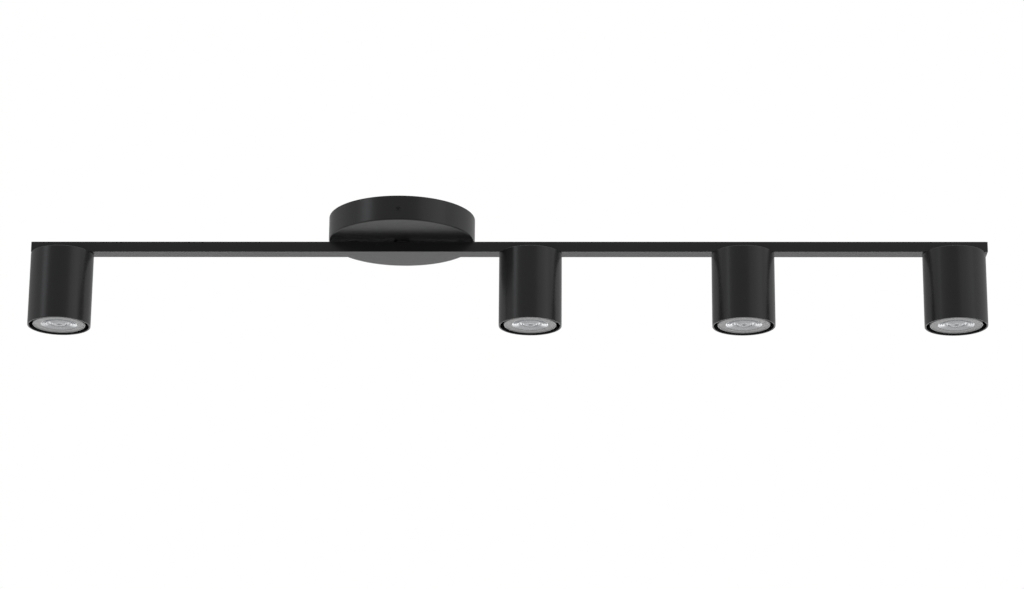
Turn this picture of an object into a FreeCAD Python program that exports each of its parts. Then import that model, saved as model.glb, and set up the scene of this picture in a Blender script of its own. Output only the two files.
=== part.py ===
# Four-lamp ceiling spotlight bar: a round canopy, a straight rail under it and four
# cylinder heads, each with a twist-lock spotlight lamp.
#
# Millimetres. The origin is the canopy's centre on the ceiling, +Z is up, +X runs along
# the rail towards its long end, and the people in the room are on the -Y side.

import FreeCAD, Part
import math
import os

# ---- driving dimensions --------------------------------------------------------------

# canopy: a shallow steel cup that covers the ceiling box
canopy_diameter = 140.0
canopy_height = 24.0
canopy_wall = 1.2
canopy_edge_radius = 1.2

# rail: a U channel, open at the top, with a snap-in cover and two end caps
rail_length = 914.4
rail_width = 17.0
rail_wall = 1.0
rail_centre_x = 102.0
rail_edge_radius = 0.3
cover_thickness = 0.8
ledge_depth = 0.9
ledge_height = 0.6
end_cap_plate = 1.5
end_cap_plug = 8.0
bridge_length = 50.0
bridge_thickness = 1.8

# heads: plain cylinders, closed at the top and open at the bottom
head_lamp_gap = 3.5
head_wiring_space = 3.75
head_wall = 1.5
head_top = 2.0
head_top_radius = 0.8
head_rim_radius = 0.4
head_1_inset = 29.2
head_4_inset = 31.5
pitch_2_to_3 = 203.0
pitch_3_to_4 = 201.2

# swivels: hollow threaded stems with a flange at one end and a nut at the other
stem_diameter = 10.0
stem_bore = 7.0
stem_thread_play = 0.05
nut_flats = 14.0
head_nut_height = 3.9
canopy_nut_height = 3.5
tooth_washer_thickness = 0.8
head_flange_side_gap = 1.0
head_flange_thickness = 2.0
canopy_flange_side_gap = 0.7
canopy_flange_thickness = 1.1
canopy_gap = 1.2
head_gap = 0.3
swivel_play = 0.05
running_clearance = 0.08
stem_reach = 1.0
canopy_stem_reach = 2.0
stop_washer_diameter = 16.0
stop_washer_thickness = 1.0
stop_tongue_reach = 12.0
stop_tongue_width = 3.0

# ceiling strap: slotted for boxes with screws 69.9 mm or 88.9 mm apart
strap_width = 20.0
strap_thickness = 1.5
strap_tab_width = 14.0
strap_floor_gap = 3.8
strap_wall_gap = 2.0
strap_hole_diameter = 10.5
slot_spacing = 79.4
slot_length = 16.0
slot_width = 4.6
side_screw_diameter = 4.0
side_screw_length = 7.0
side_screw_end_gap = 5.5
side_screw_sink = 0.2
side_screw_key = 2.0
side_screw_key_depth = 2.0
ground_screw_diameter = 3.5
ground_screw_head = 8.0
ground_screw_head_height = 2.0
ground_screw_slot_width = 1.0
ground_screw_slot_depth = 0.8
ground_screw_chamfer = 0.5
ground_screw_y = -18.0

# lampholder bracket and ceramic lampholder
bracket_thickness = 1.2
bracket_width = 12.0
bracket_leg_overlap = 8.5
holder_length = 33.6
holder_width = 20.0
holder_height = 12.0
holder_corner_radius = 6.0
holder_plate = 3.0
holder_play = 0.2
holder_screw_diameter = 3.0
holder_screw_length = 6.0
holder_screw_head = 5.6
holder_screw_head_height = 1.6
holder_screw_slot_width = 0.8
holder_screw_slot_depth = 0.8

# twist-lock spotlight lamp, 50 mm, with two headed pins 10 mm apart
lamp_diameter = 50.0
lamp_length = 46.0
lamp_recess = 0.8
lamp_wall = 1.4
lamp_rim_depth = 6.0
lamp_waist_diameter = 30.0
lamp_waist_depth = 34.0
lamp_base_diameter = 24.0
lamp_base_edge = 1.0
lamp_side_bulge = 1.5
lamp_rim_width = 2.0
lens_thickness = 3.0
lens_sink = 0.4
lens_edge_radius = 0.5
board_thickness = 1.6
board_depth = 14.0
board_gap = 1.05
led_size = 9.0
led_height = 1.0
pin_spacing = 10.0
pin_neck_diameter = 2.8
pin_neck_length = 3.5
pin_head_diameter = 4.8
pin_head_length = 4.0
pin_head_chamfer = 0.6
pin_clearance = 0.35
release_turn = 45.0

# wiring
lead_diameter = 1.6
lead_offset = 1.6
lead_bend_radius = 3.0
lead_socket_depth = 3.0
rail_wire_diameter = 1.8
rail_wire_room = 0.425
rail_wire_offset = 4.0
rail_wire_tail = 8.0
splice_diameter = 3.4
splice_length = 9.0
splice_flange_gap = 1.2
connector_length = 20.0
connector_mouth_diameter = 12.0
connector_tip_diameter = 7.0
connector_bore_diameter = 2.4
connector_bore_depth = 9.0
connector_pitch = 16.0
connector_mouth_x = -15.0
ground_lead_drop_gap = 3.5
fit_clearance = 0.1

# ---- levels and places that follow from them -----------------------------------------

canopy_bottom_z = -canopy_height
canopy_floor_z = canopy_bottom_z + canopy_wall
strap_tab_z = canopy_floor_z + strap_floor_gap
side_screw_z = strap_tab_z + side_screw_end_gap

rail_swivel_height = canopy_flange_thickness + swivel_play + bridge_thickness
rail_wire_height = rail_wire_diameter + 2 * rail_wire_room
rail_height = (
    rail_wall + head_flange_thickness + rail_wire_height + rail_swivel_height
    + ledge_height + cover_thickness)
rail_top_z = canopy_bottom_z - canopy_gap
rail_bottom_z = rail_top_z - rail_height
rail_floor_z = rail_bottom_z + rail_wall
cover_bottom_z = rail_top_z - cover_thickness
bridge_top_z = cover_bottom_z - ledge_height
bridge_bottom_z = bridge_top_z - bridge_thickness
canopy_flange_z = bridge_bottom_z - swivel_play - canopy_flange_thickness
rail_inner_width = rail_width - 2 * rail_wall
rail_wire_z = rail_floor_z + head_flange_thickness + rail_wire_height / 2
canopy_flange_radius = rail_inner_width / 2 - canopy_flange_side_gap
head_flange_radius = rail_inner_width / 2 - head_flange_side_gap
splice_offset = canopy_flange_radius + splice_flange_gap + splice_length / 2

head_top_z = rail_bottom_z - head_gap
head_ceiling_z = head_top_z - head_top
bracket_bottom_z = head_ceiling_z - bracket_thickness
stop_washer_z = bracket_bottom_z - swivel_play - stop_washer_thickness
head_nut_z = stop_washer_z - head_nut_height
stem_bottom_z = head_nut_z - stem_reach

holder_top_z = stem_bottom_z - head_wiring_space
lamp_end_z = holder_top_z - holder_height
holder_cavity_z = lamp_end_z + holder_plate
lamp_face_z = lamp_end_z - lamp_length
head_rim_z = lamp_face_z - lamp_recess

head_inner_radius = lamp_diameter / 2 + head_lamp_gap
head_radius = head_inner_radius + head_wall
lens_radius = lamp_diameter / 2 - lamp_rim_width

stem_radius = stem_diameter / 2
bore_radius = stem_bore / 2
canopy_inner_radius = canopy_diameter / 2 - canopy_wall
canopy_nut_z = canopy_floor_z + tooth_washer_thickness
canopy_stem_top_z = canopy_nut_z + canopy_nut_height + canopy_stem_reach
connector_z = canopy_stem_top_z + lead_bend_radius + lead_diameter / 2

rail_left_x = rail_centre_x - rail_length / 2
rail_right_x = rail_centre_x + rail_length / 2
head_1_x = rail_left_x + head_1_inset
head_4_x = rail_right_x - head_4_inset
head_3_x = head_4_x - pitch_3_to_4
head_2_x = head_3_x - pitch_2_to_3
head_places = {1: head_1_x, 2: head_2_x, 3: head_3_x, 4: head_4_x}


# ---- shape helpers -------------------------------------------------------------------

def point(x, y, z):
    return FreeCAD.Vector(x, y, z)


def box(x0, x1, y0, y1, z0, z1):
    """A block between two corners."""
    return Part.makeBox(x1 - x0, y1 - y0, z1 - z0, point(x0, y0, z0))


def disc(radius, z0, z1, x=0.0, y=0.0):
    """An upright cylinder from z0 to z1."""
    return Part.makeCylinder(radius, z1 - z0, point(x, y, z0))


def ring(outer, inner, z0, z1, x=0.0, y=0.0):
    """An upright tube from z0 to z1."""
    return disc(outer, z0, z1, x, y).cut(disc(inner, z0 - 1, z1 + 1, x, y))


def hexagon(flats, z0, z1, x=0.0, y=0.0):
    """An upright hexagonal prism, two of its corners on the X line."""
    radius = flats / 2 / math.cos(math.pi / 6)
    corners = []
    for step in range(7):
        angle = math.radians(60 * step)
        corners.append(point(x + radius * math.cos(angle), y + radius * math.sin(angle), z0))
    return Part.Face(Part.makePolygon(corners)).extrude(point(0, 0, z1 - z0))


def turned(profile):
    """A solid turned about the Z axis from (radius, z) corners."""
    corners = [point(radius, 0, z) for radius, z in profile]
    face = Part.Face(Part.makePolygon(corners + corners[:1]))
    return face.revolve(point(0, 0, 0), point(0, 0, 1), 360)


def circles_at(shape, radius, z):
    """The circular edges of a shape with this radius at this height."""
    found = []
    for edge in shape.Edges:
        curve = edge.Curve
        if not isinstance(curve, Part.Circle):
            continue
        if abs(curve.Radius - radius) < 1e-4 and abs(curve.Center.z - z) < 1e-4:
            found.append(edge)
    return found


def bent_wire(points, bend_radius, diameter):
    """A round wire along straight runs joined by tangent arcs."""
    edges = []
    start = points[0]
    for before, corner, after in zip(points, points[1:], points[2:]):
        incoming = (corner - before).normalize()
        outgoing = (after - corner).normalize()
        half_turn = incoming.getAngle(outgoing) / 2
        setback = bend_radius * math.tan(half_turn)
        arc_start = corner - incoming * setback
        arc_end = corner + outgoing * setback
        towards_centre = (outgoing - incoming).normalize()
        centre = corner + towards_centre * (bend_radius / math.cos(half_turn))
        middle = centre - towards_centre * bend_radius
        edges.append(Part.LineSegment(start, arc_start).toShape())
        edges.append(Part.Arc(arc_start, middle, arc_end).toShape())
        start = arc_end
    edges.append(Part.LineSegment(start, points[-1]).toShape())
    path = Part.Wire(edges)
    section = Part.Wire(Part.makeCircle(diameter / 2, points[0], points[1] - points[0]))
    return path.makePipeShell([section], True, False)


def arc_slot(middle_radius, half_width, turn, z0, z1):
    """A curved slot about the Z axis, from angle 0 clockwise through turn degrees."""
    outer = Part.makeCylinder(
        middle_radius + half_width, z1 - z0, point(0, 0, z0), point(0, 0, 1), turn)
    band = outer.cut(disc(middle_radius - half_width, z0 - 1, z1 + 1))
    band.rotate(point(0, 0, 0), point(0, 0, 1), -turn)
    angle = math.radians(-turn)
    first = disc(half_width, z0, z1, middle_radius, 0)
    last = disc(half_width, z0, z1, middle_radius * math.cos(angle), middle_radius * math.sin(angle))
    return band.fuse([first, last]).removeSplitter()


def both_sides(shape):
    """A shape and its twin half a turn about the Z axis away."""
    twin = shape.copy()
    twin.rotate(point(0, 0, 0), point(0, 0, 1), 180)
    return [shape, twin]


def group(solids):
    return Part.makeCompound(solids)


def moved(shape, x):
    """A copy of a shape made on the Z axis, moved along the rail."""
    copy = shape.copy()
    copy.translate(point(x, 0, 0))
    return copy


# ---- canopy and what it holds --------------------------------------------------------

def canopy_cup():
    radius = canopy_diameter / 2
    cup = disc(radius, canopy_bottom_z, 0)
    cup = cup.makeFillet(canopy_edge_radius, circles_at(cup, radius, canopy_bottom_z))
    inside = disc(canopy_inner_radius, canopy_floor_z, 1)
    inner_round = max(canopy_edge_radius - canopy_wall, canopy_wall / 4)
    inside = inside.makeFillet(inner_round, circles_at(inside, canopy_inner_radius, canopy_floor_z))
    cup = cup.cut(inside)
    cup = cup.cut(disc(stem_radius + fit_clearance, canopy_bottom_z - 1, canopy_floor_z + 1))
    hole_radius = side_screw_diameter / 2 + fit_clearance
    across = Part.makeCylinder(
        hole_radius, canopy_diameter + 2, point(0, -radius - 1, side_screw_z), point(0, 1, 0))
    return cup.cut(across)


def mounting_strap():
    reach = canopy_inner_radius - strap_wall_gap
    half = strap_width / 2
    plate = box(-half, half, -reach, reach, -strap_thickness, 0)
    tabs = []
    for side in (-1, 1):
        outer_y = side * reach
        inner_y = side * (reach - strap_thickness)
        tabs.append(box(
            -strap_tab_width / 2, strap_tab_width / 2,
            min(outer_y, inner_y), max(outer_y, inner_y), strap_tab_z, -strap_thickness / 2))
    strap = plate.fuse(tabs).removeSplitter()
    strap = strap.cut(disc(strap_hole_diameter / 2, -strap_thickness - 1, 1))
    radius = slot_width / 2
    straight = slot_length / 2 - radius
    for side in (-1, 1):
        y = side * slot_spacing / 2
        slot = box(-radius, radius, y - straight, y + straight, -strap_thickness - 1, 1)
        ends = [disc(radius, -strap_thickness - 1, 1, 0, y + end * straight) for end in (-1, 1)]
        strap = strap.cut(slot.fuse(ends).removeSplitter())
    strap = strap.cut(disc(
        ground_screw_diameter / 2 + stem_thread_play, -strap_thickness - 1, 1, 0, ground_screw_y))
    hole_radius = side_screw_diameter / 2 + stem_thread_play
    across = Part.makeCylinder(
        hole_radius, 2 * reach + 2, point(0, -reach - 1, side_screw_z), point(0, 1, 0))
    return strap.cut(across)


def side_screw():
    """A socket set screw that enters the front of the canopy and ends behind the strap's tab."""
    shaft = disc(side_screw_diameter / 2, 0, side_screw_length)
    key = hexagon(side_screw_key, side_screw_length - side_screw_key_depth, side_screw_length + 1)
    screw = shaft.cut(key)
    screw.rotate(point(0, 0, 0), point(1, 0, 0), 90)
    face_y = -canopy_diameter / 2 + side_screw_sink
    screw.translate(point(0, face_y + side_screw_length, side_screw_z))
    return screw


def ground_screw():
    """A slotted screw under the strap."""
    strap_z = -strap_thickness
    head_z = strap_z - ground_screw_head_height
    radius = ground_screw_head / 2
    head = disc(radius, head_z, strap_z, 0, ground_screw_y)
    head = head.makeChamfer(ground_screw_chamfer, circles_at(head, radius, head_z))
    shaft = disc(ground_screw_diameter / 2, strap_z, -fit_clearance, 0, ground_screw_y)
    half = ground_screw_slot_width / 2
    slot = box(
        -radius - 1, radius + 1, ground_screw_y - half, ground_screw_y + half,
        head_z - 1, head_z + ground_screw_slot_depth)
    return head.fuse(shaft).removeSplitter().cut(slot)


def canopy_stem():
    tube = disc(stem_radius, canopy_flange_z, canopy_stem_top_z)
    flange = disc(canopy_flange_radius, canopy_flange_z, canopy_flange_z + canopy_flange_thickness)
    return tube.fuse(flange).removeSplitter().cut(
        disc(bore_radius, canopy_flange_z - 1, canopy_stem_top_z + 1))


def stem_nut():
    """A thin nut over a plain lock washer, on the canopy's floor."""
    hole = stem_radius + stem_thread_play
    washer = ring(nut_flats / 2 + 1, hole, canopy_floor_z, canopy_nut_z)
    nut = hexagon(nut_flats, canopy_nut_z, canopy_nut_z + canopy_nut_height)
    nut = nut.cut(disc(hole, canopy_nut_z - 1, canopy_nut_z + canopy_nut_height + 1))
    return group([washer, nut])


def swivel_washer():
    return ring(
        rail_inner_width / 2, stem_radius + fit_clearance, rail_top_z + swivel_play, canopy_bottom_z)


def wire_connectors():
    """Three twist-on connectors, lying side by side with their mouths towards the stem."""
    connectors = []
    mouth_radius = connector_mouth_diameter / 2
    tip_radius = connector_tip_diameter / 2
    for place in (-1, 0, 1):
        base = point(connector_mouth_x, place * connector_pitch, connector_z)
        cone = Part.makeCone(mouth_radius, tip_radius, connector_length, base, point(-1, 0, 0))
        bore = Part.makeCylinder(
            connector_bore_diameter / 2, connector_bore_depth + 1, base + point(1, 0, 0), point(-1, 0, 0))
        connectors.append(cone.cut(bore))
    return group(connectors)


def supply_lead(side):
    """A lead from the rail up the hollow stem and across to its connector."""
    stem_y = side * lead_offset
    end_y = side * connector_pitch
    route = [
        point(0, stem_y, canopy_flange_z - lead_offset / 2),
        point(0, stem_y, connector_z),
        point(connector_mouth_x + 5, end_y, connector_z),
        point(connector_mouth_x - connector_bore_depth + 1, end_y, connector_z),
    ]
    return bent_wire(route, lead_bend_radius, lead_diameter)


def ground_lead():
    """A lead from the middle connector to the side of the ground screw's head."""
    under_strap_z = -strap_thickness - lead_diameter / 2 - fit_clearance
    screw_side_x = -ground_screw_head / 2 - fit_clearance
    turn_x = connector_mouth_x + ground_lead_drop_gap
    route = [
        point(connector_mouth_x - connector_bore_depth + 1, 0, connector_z),
        point(turn_x, 0, connector_z),
        point(turn_x, ground_screw_y, under_strap_z),
        point(screw_side_x, ground_screw_y, under_strap_z),
    ]
    return bent_wire(route, lead_bend_radius, lead_diameter)


# ---- rail ----------------------------------------------------------------------------

def rail_channel():
    """A U channel with a ledge inside each wall that carries the cover."""
    x0 = rail_left_x + end_cap_plate
    x1 = rail_right_x - end_cap_plate
    half = rail_width / 2
    inner = rail_inner_width / 2
    body = box(x0, x1, -half, half, rail_bottom_z, rail_top_z)
    lower_edges = []
    for edge in body.Edges:
        middle = edge.CenterOfMass
        if edge.Length > rail_height and abs(middle.z - rail_bottom_z) < 1e-4 and abs(middle.y) > 1:
            lower_edges.append(edge)
    body = body.makeFillet(rail_edge_radius, lower_edges)
    body = body.cut(box(x0 - 1, x1 + 1, -inner, inner, rail_floor_z, bridge_top_z))
    body = body.cut(box(x0 - 1, x1 + 1, -inner, inner, cover_bottom_z, rail_top_z + 1))
    gap = inner - ledge_depth
    body = body.cut(box(x0 - 1, x1 + 1, -gap, gap, bridge_top_z - 1, cover_bottom_z + 1))
    holes = []
    for x in head_places.values():
        holes.append(disc(stem_radius + fit_clearance, rail_bottom_z - 1, rail_floor_z + 1, x))
    return body.cut(holes)


def rail_cover():
    half = rail_inner_width / 2 - fit_clearance
    strip = box(
        rail_left_x + end_cap_plate, rail_right_x - end_cap_plate, -half, half, cover_bottom_z, rail_top_z)
    return strip.cut(disc(stem_radius + running_clearance, cover_bottom_z - 1, rail_top_z + 1))


def rail_bridge():
    """The plate inside the rail that hangs on the canopy stem's flange."""
    half = rail_inner_width / 2 - fit_clearance
    plate = box(-bridge_length / 2, bridge_length / 2, -half, half, bridge_bottom_z, bridge_top_z)
    return plate.cut(disc(stem_radius + running_clearance, bridge_bottom_z - 1, bridge_top_z + 1))


def end_cap(side):
    """A plate the size of the rail's section, with a plug that enters the channel."""
    end_x = rail_centre_x + side * rail_length / 2
    plate_x = end_x - side * end_cap_plate
    plug_x = plate_x - side * end_cap_plug
    half = rail_width / 2
    plate = box(min(end_x, plate_x), max(end_x, plate_x), -half, half, rail_bottom_z, rail_top_z)
    outer_edges = [edge for edge in plate.Edges if abs(edge.CenterOfMass.x - end_x) < 1e-4]
    plate = plate.makeFillet(rail_edge_radius, outer_edges)
    plug_half = rail_inner_width / 2 - fit_clearance
    plug_bottom_z = rail_floor_z + fit_clearance
    plug_top_z = bridge_top_z - fit_clearance
    plug = box(
        min(plug_x, plate_x), max(plug_x, plate_x), -plug_half, plug_half, plug_bottom_z, plug_top_z)
    return plate.fuse(plug).removeSplitter()


def rail_wire(side):
    x0 = head_places[1] - rail_wire_tail
    x1 = head_places[4] + rail_wire_tail
    return Part.makeCylinder(
        rail_wire_diameter / 2, x1 - x0, point(x0, side * rail_wire_offset, rail_wire_z), point(1, 0, 0))


def rail_splices():
    """Crimped sleeves on both wires, beside the canopy's stem and beside each head's, on its canopy side."""
    sleeves = []
    for x in [0.0] + list(head_places.values()):
        inward = -1 if x > 0 else 1
        for side in (-1, 1):
            start = point(
                x + inward * splice_offset - splice_length / 2, side * rail_wire_offset, rail_wire_z)
            outer = Part.makeCylinder(splice_diameter / 2, splice_length, start, point(1, 0, 0))
            inner = Part.makeCylinder(
                rail_wire_diameter / 2 + stem_thread_play, splice_length + 2,
                start - point(1, 0, 0), point(1, 0, 0))
            sleeves.append(outer.cut(inner))
    return group(sleeves)


# ---- head swivels, which stay with the rail ------------------------------------------

def head_stem():
    tube = disc(stem_radius, stem_bottom_z, rail_floor_z)
    flange = disc(head_flange_radius, rail_floor_z, rail_floor_z + head_flange_thickness)
    return tube.fuse(flange).removeSplitter().cut(
        disc(bore_radius, stem_bottom_z - 1, rail_floor_z + head_flange_thickness + 1))


def slip_washer():
    return ring(
        stop_washer_diameter / 2, stem_radius + fit_clearance, head_top_z + swivel_play, rail_bottom_z)


def stop_washer():
    """A washer keyed to the stem, with a tongue that stops the head's turn."""
    top_z = stop_washer_z + stop_washer_thickness
    washer = disc(stop_washer_diameter / 2, stop_washer_z, top_z)
    half = stop_tongue_width / 2
    tongue = box(-half, half, stem_radius, stop_tongue_reach, stop_washer_z, top_z)
    return washer.fuse(tongue).removeSplitter().cut(
        disc(stem_radius + stem_thread_play, stop_washer_z - 1, top_z + 1))


def head_nut():
    nut = hexagon(nut_flats, head_nut_z, stop_washer_z)
    return nut.cut(disc(stem_radius + stem_thread_play, head_nut_z - 1, stop_washer_z + 1))


# ---- head and lampholder -------------------------------------------------------------

def head_shell():
    body = disc(head_radius, head_rim_z, head_top_z)
    body = body.makeFillet(head_top_radius, circles_at(body, head_radius, head_top_z))
    body = body.makeFillet(head_rim_radius, circles_at(body, head_radius, head_rim_z))
    body = body.cut(disc(head_inner_radius, head_rim_z - 1, head_ceiling_z))
    body = body.makeFillet(head_rim_radius, circles_at(body, head_inner_radius, head_rim_z))
    return body.cut(disc(stem_radius + running_clearance, head_ceiling_z - 1, head_top_z + 1))


def holder_bracket():
    """A U strip: the stem passes through its plate, and its legs hold the lampholder."""
    inner = holder_length / 2 + holder_play
    outer = inner + bracket_thickness
    half = bracket_width / 2
    leg_bottom_z = holder_top_z - bracket_leg_overlap
    plate = box(-outer, outer, -half, half, bracket_bottom_z, head_ceiling_z)
    legs = []
    for side in (-1, 1):
        legs.append(box(
            min(side * inner, side * outer), max(side * inner, side * outer),
            -half, half, leg_bottom_z, bracket_bottom_z))
    tongue = stop_tongue_width / 2
    ear = box(-tongue, tongue, -stop_tongue_reach, -half, bracket_bottom_z, head_ceiling_z)
    lug = box(
        -tongue, tongue, -stop_tongue_reach, -stop_tongue_reach + bracket_thickness,
        bracket_bottom_z - 2 * stop_washer_thickness, bracket_bottom_z)
    bracket = plate.fuse(legs + [ear, lug]).removeSplitter()
    bracket = bracket.cut(disc(stem_radius + running_clearance, bracket_bottom_z - 1, head_ceiling_z + 1))
    screw_z = holder_top_z - bracket_leg_overlap / 2
    hole_radius = holder_screw_diameter / 2 + fit_clearance
    across = Part.makeCylinder(hole_radius, 2 * outer + 2, point(-outer - 1, 0, screw_z), point(1, 0, 0))
    return bracket.cut(across)


def holder_screws():
    """Two pan-head screws through the bracket's legs into the lampholder's ends."""
    head_x = holder_length / 2 + holder_play + bracket_thickness
    screw_z = holder_top_z - bracket_leg_overlap / 2
    shaft = Part.makeCylinder(
        holder_screw_diameter / 2, holder_screw_length, point(head_x - holder_screw_length, 0, screw_z),
        point(1, 0, 0))
    head = Part.makeCylinder(
        holder_screw_head / 2, holder_screw_head_height, point(head_x, 0, screw_z), point(1, 0, 0))
    screw = shaft.fuse(head).removeSplitter()
    slot_x = head_x + holder_screw_head_height
    half = holder_screw_slot_width / 2
    slot = box(
        slot_x - holder_screw_slot_depth, slot_x + 1, -holder_screw_head, holder_screw_head,
        screw_z - half, screw_z + half)
    return group(both_sides(screw.cut(slot)))


def lampholder():
    """A ceramic block with two keyhole slots under it, for the lamp's headed pins."""
    half_length = holder_length / 2
    half_width = holder_width / 2
    block = box(-half_length, half_length, -half_width, half_width, lamp_end_z, holder_top_z)
    upright = [edge for edge in block.Edges if abs(edge.Length - holder_height) < 1e-4]
    block = block.makeFillet(holder_corner_radius, upright)
    pin_radius = pin_spacing / 2
    neck = pin_neck_diameter / 2 + pin_clearance
    head = pin_head_diameter / 2 + pin_clearance
    cavity_top_z = lamp_end_z + pin_neck_length + pin_head_length + 2 * pin_clearance
    entry_angle = math.radians(-release_turn)
    narrow = arc_slot(pin_radius, neck, release_turn, lamp_end_z - 1, holder_cavity_z + fit_clearance)
    wide = arc_slot(pin_radius, head, release_turn, holder_cavity_z, cavity_top_z)
    entry = disc(
        head, lamp_end_z - 1, holder_cavity_z + fit_clearance,
        pin_radius * math.cos(entry_angle), pin_radius * math.sin(entry_angle))
    keyhole = narrow.fuse([wide, entry]).removeSplitter()
    block = block.cut(both_sides(keyhole))
    socket_z = holder_top_z - lead_socket_depth
    lead_holes = []
    for side in (-1, 1):
        lead_holes.append(disc(
            lead_diameter / 2 + fit_clearance, socket_z, holder_top_z + 1, 0, side * lead_offset))
    screw_z = holder_top_z - bracket_leg_overlap / 2
    screw_hole = Part.makeCylinder(
        holder_screw_diameter / 2 + stem_thread_play, holder_screw_length,
        point(half_length - holder_screw_length + bracket_thickness, 0, screw_z), point(1, 0, 0))
    return block.cut(lead_holes + both_sides(screw_hole))


def holder_leads():
    """Two leads from the lampholder up the hollow stem into the rail."""
    bottom_z = holder_top_z - lead_socket_depth + fit_clearance
    leads = []
    for side in (-1, 1):
        leads.append(disc(lead_diameter / 2, bottom_z, rail_wire_z, 0, side * lead_offset))
    return group(leads)


# ---- lamp ----------------------------------------------------------------------------

def lamp_outline(inset):
    """The lamp's side, as (radius, z) corners from its face to its base."""
    rim_z = lamp_face_z + lamp_rim_depth
    waist_z = lamp_face_z + lamp_waist_depth
    corners = [(lamp_diameter / 2 - inset, lamp_face_z), (lamp_diameter / 2 - inset, rim_z)]
    steps = 6
    for step in range(1, steps + 1):
        share = step / steps
        bulge = math.sin(math.pi * share) * lamp_side_bulge
        radius = lamp_diameter / 2 + (lamp_waist_diameter - lamp_diameter) / 2 * share + bulge
        corners.append((radius - inset, rim_z + (waist_z - rim_z) * share))
    corners.append((lamp_base_diameter / 2 - inset, waist_z + lamp_wall))
    return corners


def lamp_housing():
    """A hollow reflector-shaped housing with a solid base, open at the face for the lens."""
    outline = lamp_outline(0.0)
    base = lamp_base_diameter / 2
    body = turned(
        [(0, lamp_face_z)] + outline
        + [(base, lamp_end_z - lamp_base_edge), (base - lamp_base_edge, lamp_end_z), (0, lamp_end_z)])
    inner = [corner for corner in lamp_outline(lamp_wall) if corner[1] > lamp_face_z + lens_thickness + 1]
    seat_z = lamp_face_z + lens_sink + lens_thickness
    seat_radius = lens_radius - lamp_wall
    hollow_top_z = lamp_face_z + lamp_waist_depth
    hollow = turned(
        [(0, seat_z - 1), (seat_radius, seat_z - 1), (seat_radius, lamp_face_z + lamp_rim_depth)]
        + [corner for corner in inner if corner[0] < seat_radius and corner[1] < hollow_top_z]
        + [(0, hollow_top_z - lamp_wall)])
    body = body.cut(hollow)
    body = body.cut(disc(lens_radius + fit_clearance, lamp_face_z - 1, seat_z))
    pin_holes = []
    for side in (-1, 1):
        pin_holes.append(disc(
            pin_neck_diameter / 2 + stem_thread_play, lamp_end_z - pin_neck_length, lamp_end_z + 1,
            side * pin_spacing / 2))
    return body.cut(pin_holes)


def lamp_pins():
    pins = []
    for side in (-1, 1):
        x = side * pin_spacing / 2
        head_z = lamp_end_z + pin_neck_length
        neck = disc(pin_neck_diameter / 2, lamp_end_z - pin_neck_length + fit_clearance, head_z, x)
        head = disc(pin_head_diameter / 2, head_z, head_z + pin_head_length, x)
        top_z = head_z + pin_head_length
        head = head.makeChamfer(pin_head_chamfer, circles_at(head, pin_head_diameter / 2, top_z))
        pins.append(neck.fuse(head).removeSplitter())
    return group(pins)


def board_radius():
    """The housing's inner radius where the board lies, less its clearance."""
    rim_z = lamp_face_z + lamp_rim_depth
    waist_z = lamp_face_z + lamp_waist_depth
    share = (lamp_face_z + board_depth + board_thickness - rim_z) / (waist_z - rim_z)
    outer = lamp_diameter / 2 + (lamp_waist_diameter - lamp_diameter) / 2 * share
    return min(outer - lamp_wall, lens_radius - lamp_wall) - board_gap


def led_board():
    """A round circuit board with a square light source facing the lens."""
    z0 = lamp_face_z + board_depth
    board = disc(board_radius(), z0, z0 + board_thickness)
    half = led_size / 2
    source = box(-half, half, -half, half, z0 - led_height, z0)
    return board.fuse(source).removeSplitter()


def lamp_lens():
    z0 = lamp_face_z + lens_sink
    lens = disc(lens_radius, z0, z0 + lens_thickness)
    return lens.makeFillet(lens_edge_radius, circles_at(lens, lens_radius, z0))


# ---- write one file for each piece ---------------------------------------------------

def main():
    front_screw = side_screw()
    pieces = {
        "canopy_cup": canopy_cup(),
        "mounting_strap": mounting_strap(),
        "canopy_screws": group(both_sides(front_screw)),
        "ground_screw": ground_screw(),
        "canopy_stem": canopy_stem(),
        "stem_nut": stem_nut(),
        "swivel_washer": swivel_washer(),
        "wire_connectors": wire_connectors(),
        "live_lead": supply_lead(1),
        "neutral_lead": supply_lead(-1),
        "ground_lead": ground_lead(),
        "rail_channel": rail_channel(),
        "rail_cover": rail_cover(),
        "rail_bridge": rail_bridge(),
        "end_cap_left": end_cap(-1),
        "end_cap_right": end_cap(1),
        "rail_live_wire": rail_wire(1),
        "rail_neutral_wire": rail_wire(-1),
        "rail_splices": rail_splices(),
    }

    # identical swivel parts of the four heads share one group each
    swivel_parts = {
        "head_stems": head_stem(),
        "slip_washers": slip_washer(),
        "stop_washers": stop_washer(),
        "head_nuts": head_nut(),
    }
    for name, shape in swivel_parts.items():
        pieces[name] = group([moved(shape, x) for x in head_places.values()])

    # each head and each lamp keeps its own pieces, because each turns by itself
    head_parts = {
        "head_shell": head_shell(),
        "holder_bracket": holder_bracket(),
        "holder_screws": holder_screws(),
        "lampholder": lampholder(),
        "holder_leads": holder_leads(),
        "lamp_housing": lamp_housing(),
        "lamp_pins": lamp_pins(),
        "led_board": led_board(),
        "lamp_lens": lamp_lens(),
    }
    for name, shape in head_parts.items():
        for number, x in head_places.items():
            pieces[f"{name}_{number}"] = moved(shape, x)

    os.makedirs("parts", exist_ok=True)
    for name, shape in pieces.items():
        if not shape.isValid():
            raise ValueError(f"{name} is not a valid shape")
        shape.exportStep(f"parts/{name}.step")
        print(name, len(shape.Solids), round(shape.Volume / 1000, 3), "cm3")


main()
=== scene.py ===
"""Looks for a four-lamp ceiling spotlight bar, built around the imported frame.

Every length in the settings is in metres. The frame's origin is the canopy's centre on the
ceiling, +Z is up and +X runs along the rail towards its long end.
"""

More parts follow.
